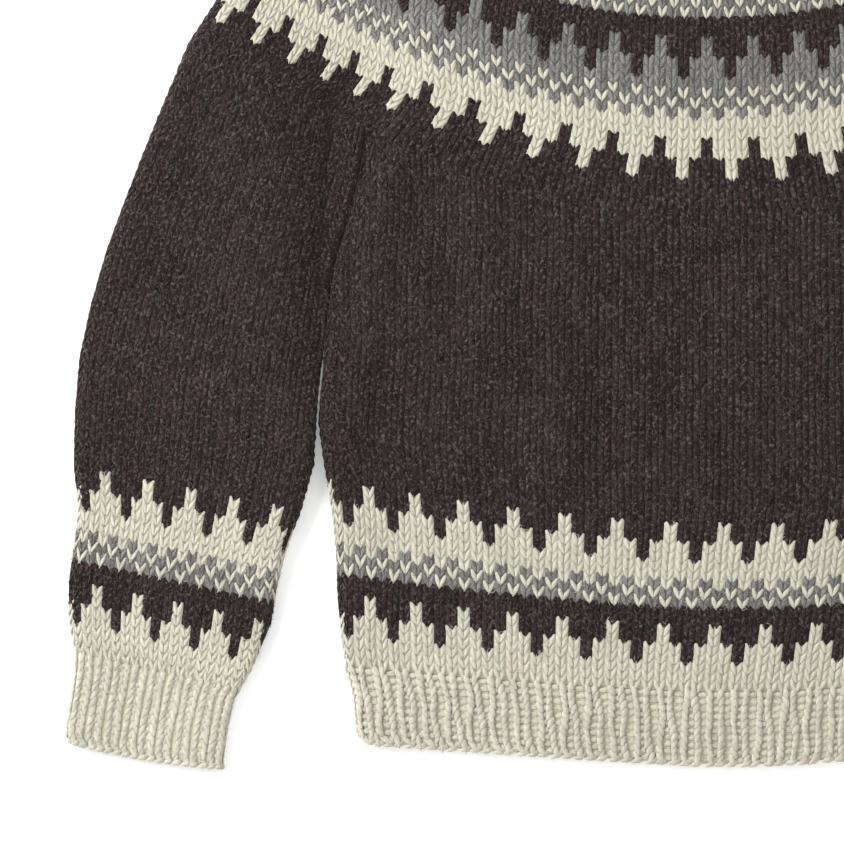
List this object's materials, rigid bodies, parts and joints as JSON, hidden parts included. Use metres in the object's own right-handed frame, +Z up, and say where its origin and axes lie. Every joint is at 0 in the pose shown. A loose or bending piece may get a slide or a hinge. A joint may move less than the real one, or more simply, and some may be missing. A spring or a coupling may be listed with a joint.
{
  "type": "fair isle sweater laid flat",
  "caption": "Hand-knit wool jumper laid flat, with a round patterned yoke, patterned bands on body and sleeves, and ribbed hem, cuffs and neckband.",
  "frame": {"origin": "on the floor under the middle of the box round the garment laid flat", "axes": "+X towards the right-hand side as one looks down on the front, +Y towards the neck, +Z up out of the front"},
  "size_m": [0.794, 0.644, 0.0114],
  "materials": {
    "dark_wool": "heathered brown-black wool, matt",
    "cream_wool": "natural cream wool, matt",
    "patterned_wool": "grey, cream and dark wool in stranded bands, matt"
  },
  "bodies": {
    "root": {"body": "dark_wool", "hem_rib": "cream_wool", "sleeve_left": "dark_wool", "sleeve_right": "dark_wool", "cuff_left": "cream_wool", "cuff_right": "cream_wool", "yoke": "patterned_wool", "neckband": "cream_wool"}
  },
  "joints": []
}
